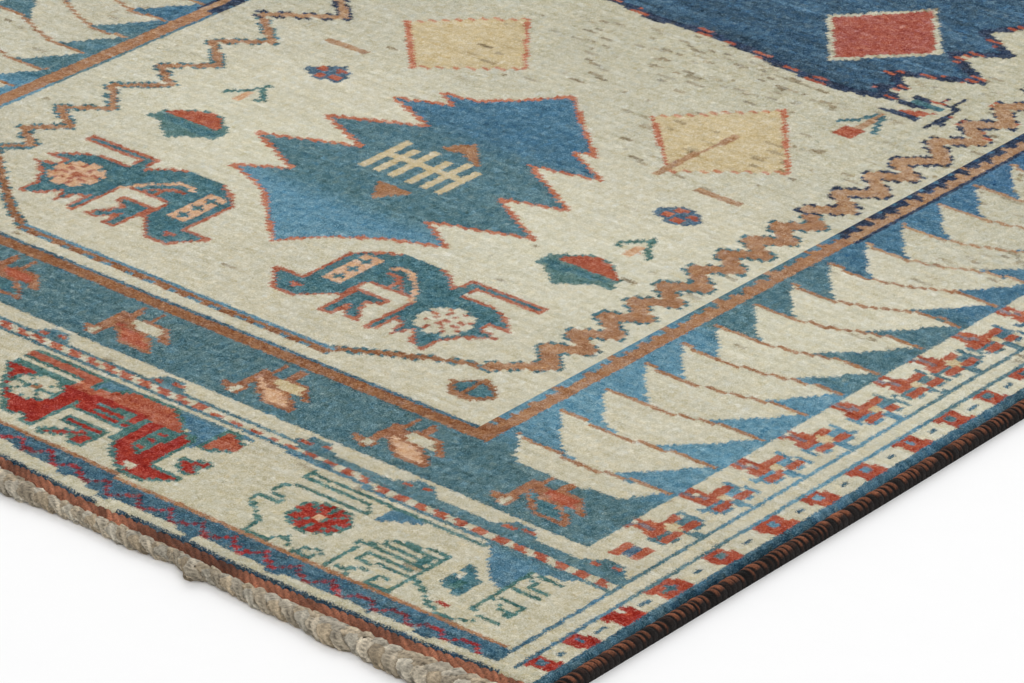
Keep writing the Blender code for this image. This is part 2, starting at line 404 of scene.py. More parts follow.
def striding_beast(chart):
    """The red long-nosed beast of the end border."""
    def place(*points):
        return [(across, up - drift_at(across, up)) for across, up in points]

    def shape(colour, *points):
        chart.shape(colour, place(*points))

    def run(colour, *points):
        chart.line(colour, place(*points), THIN)

    def block(colour, across, up):
        shape(colour, (across[0], up[0]), (across[1], up[0]), (across[1], up[1]), (across[0], up[1]))

    def bar(left, right, up):
        run("green", (left, up), (right, up))

    shape("blue", (48.1, 12), (48, 10.6), (46.9, 11), (45.9, 11.6), (45, 12))
    hanging = [
        (41.8, 12.05), (41.2, 11.6), (40.2, 10.8), (38.6, 9.6), (38, 8.7), (37.5, 8.8), (37.3, 11.3),
        (35.2, 11.9), (35.2, 12.05),
    ]
    rear = [
        (54.8, 10), (49, 10), (42.3, 9.9), (42.2, 6.5), (42.6, 6.5), (42.6, 9.2), (47.3, 9.2), (47.5, 7.2),
        (47.5, 4.2), (48.3, 4.2), (49, 5.1), (50.2, 4.5), (51.6, 5.8), (53, 6.9), (54, 8.6), (54.9, 9.4),
    ]
    nose = [
        (42.2, 9.9), (42.2, 6.5), (41.6, 5.6), (40.8, 4.9), (39.7, 4), (38.3, 3.55), (37, 3.7), (36, 4.4),
        (35.1, 5.2), (37.6, 5.35), (38, 5.6), (38, 9.6), (39.4, 9.9),
    ]
    back = [
        (54.7, 11.75), (48.1, 11.75), (48.1, 10.6), (46.7, 11), (45.7, 11.75), (41.8, 11.75), (40.5, 10.9),
        (39.6, 10.1), (38.5, 9.5),
    ]
    shape("blue", *hanging)
    for outline in (rear, nose):
        chart.outlined("red", "green", place(*outline), THIN)
    shape("orange", *back, (40.5, 9.5), (42, 9.65), (49.3, 9.65), (49.3, 11.1), (54.7, 11.1))
    run("green", *back)
    block("ivory", (54.6, 49.7), (10.35, 10.75))
    bar(54.6, 49.5, 10.9)
    bar(54.6, 49.5, 10.18)
    shape("green", (41, 9.7), (41, 6.8), (39.5, 5.7), (39.3, 9.5))
    for up in (6.4, 7.45, 8.5):
        block("red", (39.9, 40.6), (up, up + 0.5))
    chart.oval("ivory", place((39, 4.5))[0], (0.5, 0.3))
    block("red", (47.5, 42.5), (7.95, 9.9))
    bar(44.9, 43.5, 9.49)
    bar(46.3, 43.4, 9.14)
    bar(46, 42.5, 8.45)
    bar(47.2, 42.5, 7.76)
    run("green", (43.6, 9.3), (43.6, 8))
    block("ivory", (46.9, 43.1), (7, 7.6))
    block("green", (46.6, 43), (5.9, 6.9))
    run("red", (46.2, 6.38), (43.3, 6.38))
    chart.outlined("red", "green", place((44.4, 5.7), (43.2, 5.6), (43.2, 4.2), (44.3, 4.2)), THIN)
    chart.line("green", place((44.2, 5.7), (46.4, 4.3)), 1)
    chart.line("red", place((44.3, 5.6), (46.2, 4.4)), 0.4)
    blossom = place((51.1, 8.15))[0]
    chart.rosette("ivory", "green", blossom, (2.05, 1.7), 8, -0.7)
    chart.oval("brown", blossom, (0.35, 0.35))
    for colour, spare in (("green", THIN), ("orange", 0)):
        for left, right, half in ((37.1, 36.5, 1.25), (36.5, 35.9, 0.85), (35.9, 35.2, 0.45)):
            rows = (10.45 - half - spare, 10.45 + half + spare)
            block(colour, (right - spare * 0.6, left + spare * 0.9), rows)
    notch = [(37, 7.2), (36.3, 7.4), (35.2, 7.9), (35.1, 7.4), (36, 7), (35.2, 6.5), (35.3, 6.1)]
    notch = place(*notch, (36.4, 6.5))
    chart.line("green", notch + notch[:1], 0.6)
    chart.shape("red", notch)


def outlined_beast(chart):
    """The beast drawn in green lines with a red flower."""
    def run(*points):
        chart.line("green", list(points), THIN)

    middle = 25.2  # of the flower
    chart.shape("blue", [(22.4, 11.5), (20, 11.5), (20, 10.6), (21.2, 10.1), (22, 9.4), (22.7, 9.3)])
    hanging = [
        (15.6, 11.8), (14.5, 11), (13.8, 10), (13, 9.2), (12.3, 8.5), (11.6, 7.9), (10.8, 7.9), (11, 9.5),
        (11.1, 10.6), (8.4, 11.3), (8.4, 11.8),
    ]
    chart.shape("blue", hanging)
    rear = [
        (29.6, 10.48), (24.2, 10.48), (23.5, 10), (23.5, 9.5), (29.2, 9.5), (29.9, 9), (29.8, 8),
        (28.6, 7.6), (28.4, 7.1), (30.2, 7.1), (30.2, 6.4), (29.3, 5.7), (27.7, 4.4), (27.8, 3.2),
        (25.8, 3.2), (25.6, 3.9), (25, 4.2), (24.3, 3.5),
    ]
    breast = [(21, 3.2), (21, 5.8), (21.5, 6.5), (20.3, 7.1), (19.8, 7.9), (18.8, 8.4), (17.5, 8.7)]
    run((29.6, 11.25), (20, 11.25))
    chart.line("bud green", [(20, 11.25), (15.2, 11.25)], THIN)
    run((29.7, 10.4), (29.7, 11.8))
    run(*rear)
    run((23.9, 3.4), (22.3, 3.3), (22.2, 4.2), (23.2, 4.1), (23.6, 3.4))
    run(*breast, (15.8, 8.7))
    run((15.8, 8.8), (15.8, 3.4))
    run((15.9, 3.3), (17.8, 3.2), (17.8, 4.3), (16.8, 4.3))
    for left, right, up in ((19.2, 16.4, 8.1), (19.6, 16.3, 7.4), (20.2, 16.3, 6.7), (20.1, 16.6, 6.1)):
        run((left, up), (right, up))
    chart.box("green", (middle - 8.6, middle - 7.9), (6.9, 7.9))
    run((20, 5), (20.1, 6.2))
    run((19.9, 5.1), (16, 5.4), (15, 5.1), (14, 4.4), (12.8, 3.5), (11, 3.2), (9.8, 3.9))
    run((20.2, 3.6), (19.4, 3.4))
    run((20, 3.6), (18.6, 4.4))
    block = [(14.4, 6.1), (13.4, 5.8), (12.4, 5.5), (12.5, 8), (13.1, 8.1), (13.9, 8.8), (14.4, 9.3)]
    chart.shape("deep teal", block)
    chart.oval("ivory", (14, 7.7), (0.3, 0.4))
    chart.oval("green", (13.3, 6.7), (0.4, 0.5))
    run((10.9, 10.5), (11, 4.9), (8.6, 4.7))
    run((10.9, 6.2), (10, 7.2), (8.6, 7))
    run((9.9, 6.4), (8.5, 5.7), (8.5, 7))
    run((10.6, 10.1), (9.8, 9.8), (9.9, 9.2), (8.4, 9.3))
    run((10.2, 10.6), (8.3, 10.5))
    run((10.6, 8.5), (8.4, 8.4))
    chart.box("red", (12, 13), (4.1, 4.6))
    chart.rosette("red", "green", (middle, 7.2), (2.3, 1.9), 8, -0.6)
    chart.oval("salmon", (middle, 7.2), (0.38, THIN))


def animal_border(chart):
    chart.box("ivory", (5.95, FAR - 5.95), (3.1, 11.8))
    outlined_beast(chart)
    striding_beast(chart)
    striding_beast(chart.shifted(23))
    outlined_beast(chart.shifted(68.8))
    chart.box("ivory", (4.75, 5.6), (0, HALF_UP))
    chart.box("ivory", (FAR - 5.6, FAR - 4.75), (0, HALF_UP))
    chart.box("blue", (FAR - 5.95, FAR - 5.6), (0, 15))


# Field

def zigzag_line(chart, points, colour, edge, width, fringe=0.26):
    """A coloured line with a broken fringe of another colour, missing on some rows."""
    before = chart.knots.copy()
    chart.line(edge, points, width + 2 * fringe)
    gaps = np.sin(np.floor(chart.up / ROW_STEP) * 2.2) < -0.7
    chart.knots[gaps] = before[gaps]
    chart.line(colour, points, width)


def side_zigzag(side, nodes, width):
    low = [node for node in nodes if node[1] <= 63.2]
    high = [node for node in nodes if node[1] >= 61.0]
    zigzag_line(side, low, "sandy brown", "deep teal", width)
    zigzag_line(side, high, "pale tan", "navy", width, THIN)


def field_frame(chart):
    """The inner line across the field's end and the zigzags up its sides."""
    left = chart.mirrored()
    ends = (
        (chart, [(31, 29.2), (33.5, 28.2), (37, 26.5), (40, 24.8)]),
        (left, [(29.5, 32), (33.8, 28.6), (36.3, 26.7), (38.3, 25.3), (39.8, 24.6)]),
    )
    for side, points in ends:
        zigzag_line(side, points, "brown", "deep teal", 0.56, 0.18)
    chart.box("blue", (39.8, 69.2), (23.8, 24.85))
    chart.box("brown", (39.8, 69.2), (24.15, 24.5))
    below = (chart.across > 39.8) & (chart.across < 69.2) & (chart.up > 23.8) & (chart.up < 24.15)
    chart.fill("brown", below & (np.sin(chart.across * 3.1) + 0.6 * np.sin(chart.across * 1.3) > -0.1))
    turns = (
        (33.9, 35.3), (36.7, 38.2), (40, 41.4), (42.9, 44.4), (46, 47.5), (49.4, 51), (52.6, 54),
        (55.4, 56.9), (58.4, 60), (61.8, 63.5), (65.4, 67.2), (69.3, 70.7), (72.3, 74.4), (76.7, 78.8),
        (80.7, 82.4), (84.8, 86.8), (88.8, 90.9), (92.9, 95), (97, 99),
    )
    nodes = [(30.6, 29.4), (29, 30.9), (27.5, 32.1)]
    for low, high in turns:
        nodes += [(29.65, low), (27.15, high)]
    side_zigzag(chart, nodes, 1.1)
    nodes = [
        (29.5, 32.7), (31, 34.2), (28.3, 35.9), (30.8, 38.2), (27.7, 40.1), (30.8, 42.5), (27.9, 45.4),
        (31.1, 48.2), (28.1, 50.2), (31.4, 53), (27.9, 56), (31.4, 58.7), (27.1, 62.1), (32.4, 65.7),
        (28.6, 69),
    ]
    up = 72.5
    while up < HALF_UP + 3:
        nodes += [(32.4, up), (28.5, up + 3)]
        up += 6.2
    side_zigzag(left, nodes, 0.62)


def field_beast(side, rosette, flank):
    """The blue long-nosed beast of the field, red outlined, with a rosette on its flank."""
    edge = "beast edge"
    body = [
        (39.6, 38.25), (33.2, 38.1), (33.2, 37.35), (38.7, 37.3), (38.9, 36.3), (38.4, 36), (35.5, 35.9),
        (34.6, 35.5), (33, 34), (34.6, 33.9), (34.5, 33.1), (33, 32.7), (34.9, 31.3), (35.5, 30.2),
        (35.5, 28.4), (36.9, 28.8), (38, 30.2), (38.8, 28.9), (39.2, 30.3), (40.1, 30.9), (40.2, 28.6),
        (40.8, 28.6), (40.9, 33.6), (45, 33.6), (45.1, 31), (46.2, 30.3), (47.6, 28.7), (49.4, 28.7),
        (50.4, 30), (51.3, 31.1), (48.8, 31.1), (49, 36), (47.4, 37.4), (45.9, 38.3), (42.6, 38.3),
        (41.4, 37.7), (40, 36.5),
    ]
    legs = [
        (44.9, 32.2), (42, 32.3), (42, 31.5), (43.2, 31.3), (41.9, 28.8), (42.7, 28.6), (43.9, 30.4),
        (43.9, 28.4), (44.9, 28.4),
    ]
    for outline in (body, legs):
        side.outlined("deep teal", edge, outline, 0.3)
    side.box("salmon", (46.4, 48.1), (32, 36.5))
    for up in (32.9, 34.3, 35.7):
        side.shape("deep teal", [(47.9, up), (47.2, up + 0.5), (46.5, up), (47.2, up - 0.5)])
    side.line("salmon", [(45.1, 36.1), (44.3, 36.5), (43.4, 36.2), (42.2, 35.1), (41.3, 34), (40.9, 33.3)])
    for points in (
        [(45, 35.9), (45, 33.6)],
        [(44.9, 35.4), (43.9, 35.3), (42.9, 34.4), (42.1, 33.6)],
        [(43.6, 35.2), (43.5, 33.7)],
    ):
        side.line(edge, points, 0.3)
    side.oval("orange", (48.6, 30.1), (0.42, THIN))
    side.oval(rosette, flank, (2.15, 2))
    for turn in range(8):
        angle = math.pi * turn / 4 + 0.3
        across, up = math.cos(angle), math.sin(angle)
        side.line("deep teal", moved([(1.9 * across, 1.8 * up), (2.3 * across, 2.2 * up)], *flank))
        side.line(edge, moved([(0.7 * across, 0.65 * up), (1.7 * across, 1.6 * up)], *flank), 0.28)
    side.oval(edge, flank, (0.3, 0.3))


def serrated_medallion(chart):
    """The blue medallion with toothed sides, a plain comb in its middle."""
    right = [
        (54.3, 34), (52, 36.8), (48.5, 39.3), (44.6, 40.9), (48.2, 43.1), (40.9, 45.8), (46.8, 49.1),
        (42, 50.9), (48.8, 54.7), (43.3, 56.1), (48, 58.5), (46.3, 58.9), (50.2, 62.2), (54.2, 65.8),
    ]
    left = [
        (56.6, 62.8), (58.9, 60.6), (61.8, 60), (59.7, 58.9), (64, 57.1), (58.7, 55), (65.6, 51.6),
        (60, 49.3), (67.3, 46.2), (61.3, 43.4), (65, 41.1), (61.8, 40.1), (59.9, 39.1), (57, 36.4),
    ]
    chart.outlined("blue", "outline", right + left, 0.36)
    chart.shape("sandy brown", [(54.1, 55), (55.6, 52.9), (53.4, 53), (51.2, 51.9)])
    chart.shape("sandy brown", [(55.3, 45.9), (52, 45.8), (53.6, 43.4)])
    chart.box("cream", (50.4, 58.2), (49.3, 49.9))
    for tooth in range(6):
        at = 50.4 + 1.44 * tooth
        chart.box("cream", (at, at + 0.66), (47, 52.0 if tooth % 2 else 51.4))


def bud(side):
    """A teal bud with a red cap."""
    body = [
        (-3.4, 1.7), (-3.2, 3.3), (-2.4, 3.7), (-0.9, 5.1), (0.3, 5.5), (1.6, 4.9), (2.6, 4), (3.4, 3.6),
        (3.5, 2), (2.5, 1.9), (1.5, 1), (0.3, 0), (-0.9, 0.9), (-2.2, 1.9),
    ]
    side.shape("bud green", body)
    side.shape("deep teal", [(-2.9, 2.9), (2.9, 2.9), (3.1, 2.1), (1.6, 1.9), (-1.8, 2.3)])
    side.shape("orange", [(-2.9, 3.4), (-1.2, 4.7), (0.2, 5.2), (1, 5), (2.6, 3.4), (0, 3.2)])


def sprout(side):
    side.line("green", [(-1.6, 0.6), (-0.7, 1.6), (0.2, 3.2)], 0.5)
    side.line("green", [(0.4, 2.6), (1.5, 1.2), (1.3, 0.9)], 0.55)
    side.oval("salmon", (-0.1, 0.9), (0.45, 0.95))


def spotted_lozenge(side):
    outline = [(-2, -0.6), (-0.6, -1.3), (1.6, -1.1), (1.9, 0), (1.2, 0.9), (0.3, 1.6), (-0.8, 1.1)]
    side.shape("slate", outline + [(-1.6, 0.4)])
    for spot in ((-0.9, 0.3), (0.5, 0.8), (0.9, -0.3), (-0.3, -0.7)):
        side.oval("orange", spot, (0.5, 0.36))


def tan_lozenge(side, top, right, bottom, left):
    """A tan lozenge: two edges are thin lines and two are broken strokes."""
    side.shape("tan", [top, right, bottom, left])
    before = side.knots.copy()
    for start, end in ((top, left), (right, bottom)):
        side.line("soft outline", [start, end], 0.5)
    gaps = np.floor(side.up / ROW_STEP) % 2 == 0
    side.knots[gaps] = before[gaps]
    for start, end in ((top, right), (left, bottom)):
        side.line("outline", [start, end], THIN)


def seed_sprout(side):
    side.line("deep teal", [(37, 75.2), (36.2, 76), (35.6, 77.6)], 0.5)
    side.line("deep teal", [(33.7, 75), (34.4, 76.2), (34.9, 77.6)], 0.5)
    side.line("pale tan", [(35.3, 78.2), (35.1, 75)], 0.5)
    side.box("orange", (34.5, 36), (73.2, 74.9))


def corner_diamond(side):
    outer = [
        (29.8, 27.8), (28.9, 27.8), (28, 27), (27.2, 26.2), (28.2, 25.2), (28.9, 24.7), (29.9, 24.7),
        (30.6, 25.3), (31.4, 26.3), (30.6, 27),
    ]
    inner = [
        (29.9, 27.3), (28.8, 27.3), (28.2, 26.8), (27.7, 26.3), (28.5, 25.5), (30.3, 25.6), (30.9, 26.3),
        (30.3, 27),
    ]
    side.shape("brown", outer)
    side.shape("deep teal", inner)
    side.box("brown", (29.2, 29.6), (25, 27.8))


def field(chart):
    left = chart.mirrored()
    chart.box("ivory", (25.75, FAR - 24.6), (22.85, HALF_UP))
    field_frame(chart)
    corner_diamond(chart)
    corner_diamond(left)
    serrated_medallion(chart)
    field_beast(chart, "ivory", (37.2, 32.5))
    field_beast(left, "salmon", (36.8, 32.8))
    bud(chart.shifted(35.2, 41.3))
    bud(left.shifted(36.9, 41.3))
    sprout(chart.shifted(34.5, 48))
    sprout(left.shifted(36.6, 49.3))
    spotted_lozenge(chart.shifted(35.6, 55.2))
    spotted_lozenge(left.shifted(38.5, 57.3))
    tan_lozenge(chart, (41.1, 73.9), (34.3, 65.7), (40.9, 60.4), (47.6, 66.9))
    chart.shape("pale tan", [(41.7, 59.3), (40.9, 59.3), (40.7, 68.4), (41.2, 68.4)])
    tan_lozenge(left, (43, 74.5), (49, 67.2), (42.5, 62.1), (36.4, 68.2))
    chart.line("pale tan", [(33.5, 59.3), (37.3, 59.3)], 0.5)
    left.line("pale tan", [(34.4, 61.8), (37.9, 61.7)], 0.55)
    seed_sprout(chart)


def hooked_ornament(side):
    side.line("navy", [(35.9, 78.9), (33, 79)], 0.56)
    side.shape("orange", [(35.3, 79.2), (33.2, 79.3), (32.4, 80.7), (34.2, 80.1)])
    side.line("navy", [(35.6, 80.7), (33.6, 80.9)], 0.56)
    side.line("deep teal", [(34.9, 81.4), (32.8, 81.5)], 0.7)
    side.line("navy", [(35.3, 82.1), (32.2, 82.4), (31.6, 82), (31.4, 80.2), (31.6, 78.1)], 0.56)
    side.line("navy", [(33.4, 82.4), (33.3, 83.4)])
    side.line("navy", [(32.4, 82.4), (32.3, 83.9)])
    side.line("navy", [(31.4, 80.2), (30.8, 79.2), (31.6, 79)])


def central_medallion(chart):
    """The big medallion: a broad deep blue field with a stepped edge, red flecks and red lozenges."""
    for side, lift in ((chart, 0), (chart.mirrored(), 1.7)):
        low = [(45, 80), (40, 79.9), (38, 80.4), (36.4, 81), (38.6, 82), (37, 82.8)]
        high = [(39.3, 84.5), (33.2, 87.4), (38, 90.2), (34.4, 92.6), (38.6, 95), (36, 98.5)]
        points = [(54.5, 81.3), (50, 80.9)] + moved(low, 0, lift) + high + [(54.5, 98.5)]
        side.shape("deep blue", points)
        side.line("navy", points[:-1], 0.9)
        flecks = np.sin(side.across * 2.1) + np.sin(side.across * 0.83 + side.up * 1.7) > 0.75
        flecks &= (side.up > 79) & (side.across > 33) & (np.mod(side.up, 0.69) < 0.4)
        side.fill("orange", flecks & (side.knots == NAMES.index("navy")))
        hooked_ornament(side)
    for side in (chart, chart.mirrored()):
        side.shape("ivory", [(44.1, 83.2), (38.4, 89.6), (43.8, 96.2), (49.4, 89.8)])
        side.shape("rose", [(44.1, 83.9), (39, 89.6), (43.8, 95.6), (48.8, 89.8)])


def drawn(across, up):
    """The front half of the rug, as colour numbers."""
    chart = Chart(np.full(across.shape, NAMES.index("ivory")), across, up)
    left = chart.mirrored()
    end_stripes(chart)
    animal_border(chart)
    for side in (chart, left):
        side.box("ivory", (4.7, 10.2), (14.2, HALF_UP))
        side.box("ivory", (4.7, 5.6), (0.3, HALF_UP))
    slanted_checks(chart)
    for side in (chart, left):
        check_guard(side)
        guard_lines(side)
        flower_border(side)
    leaf_border(chart, 0, 1)
    leaf_border(left, *LEFT_LEAVES)
    bird_band(chart)
    lowest_leaf(chart, 0, 1)
    lowest_leaf(left, *LEFT_LEAVES)
    field(chart)
    central_medallion(chart)
    field_edge(chart, 0)
    field_edge(left, LEFT_STRIPE)
    return chart.knots


# The ivory and blue dye lots as they look, by height on the chart
IVORY_BY_HEIGHT = (
    (0, (190, 184, 158)), (12, (194, 187, 162)), (24, (199, 193, 169)), (34, (200, 195, 172)),
    (46, (208, 204, 181)), (56, (206, 201, 178)), (64, (194, 190, 168)), (80, (189, 185, 162)),
    (98, (188, 184, 160)),
)
BLUE_BY_HEIGHT = (
    (0, (58, 91, 106)), (3, (60, 94, 110)), (11, (80, 120, 140)), (12.5, (78, 112, 120)),
    (21, (78, 110, 116)), (24, (88, 130, 148)), (29, (96, 140, 158)), (41.5, (90, 134, 154)),
    (43, (80, 116, 124)), (54.5, (80, 114, 124)), (57, (68, 108, 130)), (66, (72, 114, 138)),
    (80, (60, 98, 130)), (98, (56, 86, 116)),
)


def by_height(table, up):
    """The table's colours at each height, eased from one to the next."""
    heights = [row[0] for row in table]
    return np.stack([np.interp(up, heights, [row[1][channel] for row in table]) for channel in range(3)], -1)


def linear(colour):
    """0 to 255 as seen, to linear light."""
    share = np.asarray(colour, float) / 255
    return np.where(share <= 0.04045, share / 12.92, ((share + 0.055) / 1.055) ** 2.4)


# Knots

def along_edge(node, axis):
    """A CAD piece's floor outline on its front or right side, as two matching lists."""
    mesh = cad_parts[node].data
    points = np.array([vert.co[:] for vert in mesh.vertices])
    points = points[points[:, 2] < 1e-5]
    across, along = (0, 1) if axis == "front" else (1, 0)
    places = np.unique(np.round(points[:, across], 6))
    sign = -1 if axis == "front" else 1
    reach = []
    for place in places:
        here = np.abs(points[:, across] - place) < 2e-6
        reach.append(np.max(sign * points[here, along]))
    reach = np.array(reach)
    outermost = [np.max(reach[np.abs(places - place) < 0.005]) for place in places]
    kept = reach > np.array(outermost) - 0.003
    return places[kept], sign * reach[kept]


FRONT = along_edge("pile_rug", "front")
RIGHT = along_edge("selvedge_right", "right")
PLAIT = along_edge("plaited_end_front", "front")


def front_line(x):
    return np.interp(x, *FRONT)


def right_edge(y):
    return np.interp(y, *RIGHT)


def plait_line(x):
    return np.interp(x, *PLAIT)


def knot_y(x, y):
    """Where a row at Y lies at X once it follows the wavy ends."""
    near = np.clip(1 - (y + HALF_LENGTH) / WAVE_REACH, 0, 1)
    far = np.clip(1 - (HALF_LENGTH - y) / WAVE_REACH, 0, 1)
    return y + near * (front_line(x) + HALF_LENGTH) - far * (front_line(-x) + HALF_LENGTH)


def knot_colours(x, y, random):
    """The linear colour of each knot; x and y are its place before the rows wave."""
    back = y > 0
    across = (EDGE_LINE - np.where(back, -x, x)) * 100
    up = (HALF_LENGTH - np.abs(y)) * 100
    knots = drawn(across, up - drift_at(across, up))
    unbroken = np.sin(across * 0.9) + np.sin(across * 0.37 + 1) < 1.6
    first = (up < 0.3) & (across > 4.8) & (across < FAR - 4.8)
    knots[first & unbroken] = NAMES.index("end navy")
    colours = np.array([linear(WOOL[name]) for name in NAMES])[knots]
    lot_shift = 0.6 * np.sin(across / 7.0) + random.normal(0, 0.25, (len(y[:, 0]), 1))
    lots = {"blue": linear(by_height(BLUE_BY_HEIGHT, up + lot_shift))}
    shade = 1 - 0.13 * eased((across - 66) / 26)
    lots["ivory"] = linear(by_height(IVORY_BY_HEIGHT, up)) * shade[..., None]
    for name, dyed in lots.items():
        colours = np.where((knots == NAMES.index(name))[..., None], dyed, colours)
    colours = streaked(colours, knots, across, up, random)
    return worn(colours, knots, across, up, random)


def worn(colours, knots, across, up, random):
    """Short dark runs along the rows, crowded into patches, where the pale pile is down to its knots."""
    rows, columns = knots.shape
    pale = (knots == NAMES.index("ivory")) | (knots == NAMES.index("tan"))
    crowd = np.sin(0.42 * across + 0.9 * np.sin(0.21 * up) + 1.3) * np.sin(0.37 * up - 0.23 * across + 0.9)
    crowd = 0.05 + 0.95 * eased((crowd + 0.25) / 0.7)
    field = eased((up - 55) / 22) * np.exp(-((across - 45) / 14) ** 2) * (across > 25.8)
    leaves = 0.16 * eased((up - 40) / 25) * ((across < 24) | (across > FAR - 24)) * (up > 40)
    beside = 0.2 * np.exp(-((up - 77.5) / 2.6) ** 2)
    share = 0.006 + (0.34 * crowd + beside) * field + leaves * crowd
    starts = random.random((rows, columns)) < share / 3
    lengths = random.integers(1, 5, (rows, columns))
    depth = random.uniform(0.2, 0.85, (rows, columns))
    low = np.zeros((rows, columns))
    for step in range(4):
        run = np.roll(np.where(starts & (lengths > step), depth, 0), step, axis=1)
        low = np.maximum(low, run)
    low = low * pale
    return between(colours, linear(WEFT), low[..., None])


def streaked(colours, knots, across, up, random):
    """Darker and paler runs along the rows of the big medallion, darkest at its end."""
    rows, columns = knots.shape
    run = np.repeat(random.normal(0, 0.15, (rows, columns // 14 + 1)), 14, axis=1)[:, :columns]
    band = 0.09 * np.sin(1.9 * up + 0.6 * np.sin(0.23 * across)) + 0.07 * np.sin(4.3 * up + 0.1 * across)
    dusk = 0.55 * eased((84.0 - up) / 3.0) * np.exp(-((across - 50) / 7) ** 2)
    blue = knots == NAMES.index("deep blue")
    tone = np.exp((run + band - dusk) * blue)
    return colours * tone[..., None]


def varied(colours, random):
    """Uneven dye: each knot, each row and each short run differs a little, dark wool more than pale."""
    rows, columns = colours.shape[:2]
    knot = random.normal(0, 0.09, (rows, columns, 1))
    row = random.normal(0, 0.035, (rows, 1, 1))
    dash = np.repeat(random.normal(0, 0.045, (rows, columns // 4 + 1, 1)), 4, axis=1)[:, :columns]
    warmth = random.normal(0, 0.03, (rows, columns, 1)) * np.array([1.0, 0.1, -1.0])
    return np.clip(colours, 0.001, 0.95) ** np.clip(1 + knot + row + dash + warmth, 0.5, 1.6)


# Meshes

def mesh_object(name, points, faces, material, uvs, colours):
    """A smooth mesh. uvs are for each face corner, and so is each colour set in colours."""
    mesh = bpy.data.meshes.new(name)
    mesh.from_pydata(points.tolist(), [], faces.tolist())
    mesh.update()
    mesh.shade_smooth()
    layer = mesh.uv_layers.new(name="Yarn")
    layer.data.foreach_set("uv", np.asarray(uvs, np.float32).ravel())
    for title, values in colours.items():
        attribute = mesh.color_attributes.new(title, "FLOAT_COLOR", "CORNER")
        flat = np.ones((len(mesh.loops), 4), np.float32)
        flat[:, :3] = np.asarray(values).reshape(-1, 3)
        attribute.data.foreach_set("color", flat.ravel())
    mesh.materials.append(material)
    piece = bpy.data.objects.new(name, mesh)
    bpy.context.scene.collection.objects.link(piece)
    return piece


def grid_faces(rows, columns):
    """Quads of a grid whose points run row by row."""
    start = (np.arange(rows - 1)[:, None] * columns + np.arange(columns - 1)[None, :]).ravel()
    return np.stack([start, start + 1, start + columns + 1, start + columns], 1)


def corner_values(values, faces):
    """Values at points, given to the corners of the faces."""
    return values.reshape(-1, values.shape[-1])[faces.ravel()]


def edge_object(name, points, faces, uvs, colours, material, turned):
    """A smooth mesh of the front end or right side, turned half round for the other one."""
    flat = points.reshape(-1, 3) * ((-1, -1, 1) if turned else (1, 1, 1))
    return mesh_object(name, flat, faces, material, uvs, {"wool": np.clip(colours, 0, 1)})


def laid_grid(name, points, uvs, colours, material, turned):
    """A grid that faces up, with its yarn places and colours given at its points."""
    faces = grid_faces(*points.shape[:2])[:, ::-1]
    corners = [corner_values(values, faces) for values in (uvs, colours)]
    return edge_object(name, points, faces, *corners, material, turned)


def tubes(name, parts, material, turned):
    """Tubes as one mesh. Each part: rings of points, their yarn places and colours, and its sides' tints."""
    all_points, all_faces, all_uvs, all_colours = [], [], [], []
    start = 0
    for points, uvs, colours, tints in parts:
        rings, sides = points.shape[:2]
        faces = []
        for side in range(sides):
            near = np.arange(rings - 1) * sides + side
            far = np.arange(rings - 1) * sides + (side + 1) % sides
            faces.append(np.stack([near, far, far + sides, near + sides], 1))
        faces = np.concatenate(faces)
        all_points.append(points.reshape(-1, 3))
        all_faces.append(faces + start)
        all_uvs.append(corner_values(uvs, faces))
        all_colours.append(corner_values(colours, faces) * np.repeat(tints, (rings - 1) * 4)[:, None])
        start += rings * sides
    joined = [np.concatenate(values) for values in (all_points, all_faces, all_uvs, all_colours)]
    return edge_object(name, *joined, material, turned)


def pile_strip(name, left, right, material, random):
    """Knots between two places across the rug, with a shorn edge wherever the rug ends."""
    columns = int(round((right - left) / KNOT))
    share = np.linspace(0, 1, columns + 1)
    places = np.linspace(-HALF_LENGTH, HALF_LENGTH, ROWS + 1)
    base_x, base_y = np.meshgrid(between(left, right, share), places)
    x = base_x.copy()
    outer = CORD_WIDTH + GAP
    if left < -OUTSIDE:
        start = -(right_edge(-base_y[:, 0]) - outer)
        x = between(start[:, None], right, share[None, :])
    if right > OUTSIDE:
        end = right_edge(base_y[:, 0]) - outer
        x = between(left, end[:, None], share[None, :])
    y = knot_y(x, base_y)
    inside = np.zeros(x.shape)
    inside[1:-1, 1:-1] = 1
    x = x + inside * random.normal(0, STRAY[0], x.shape)
    y = y + inside * random.normal(0, STRAY[1], y.shape)
    reach_x = np.minimum(right_edge(base_y) - outer - x, x + right_edge(-base_y) - outer)
    reach_y = np.minimum(y - front_line(x), -front_line(-x) - y)
    away = np.clip(1 - np.minimum(reach_x, reach_y) / PILE_ROUND, 0, 1)
    drop = PILE_ROUND * (1 - np.sqrt(1 - away * away))
    swell = PILE_LUMP * np.sin(9.1 * x + 3.3 * y + 0.4) * np.sin(5.3 * y - 4.1 * x)
    seam = np.ones(x.shape)
    if left > -OUTSIDE:
        seam[:, 0] = 0
    if right < OUTSIDE:
        seam[:, -1] = 0
    z = PILE_HEIGHT - drop + swell + seam * random.normal(0, UNEVEN, x.shape)
    points = np.stack([x, y, z], -1)
    middle_x = (base_x[1:, 1:] + base_x[1:, :-1]) / 2
    middle_y = (base_y[1:, 1:] + base_y[:-1, 1:]) / 2
    plain = knot_colours(middle_x, middle_y, np.random.default_rng(SEED))
    return strip_object(name, points, plain, material, random, left, right)


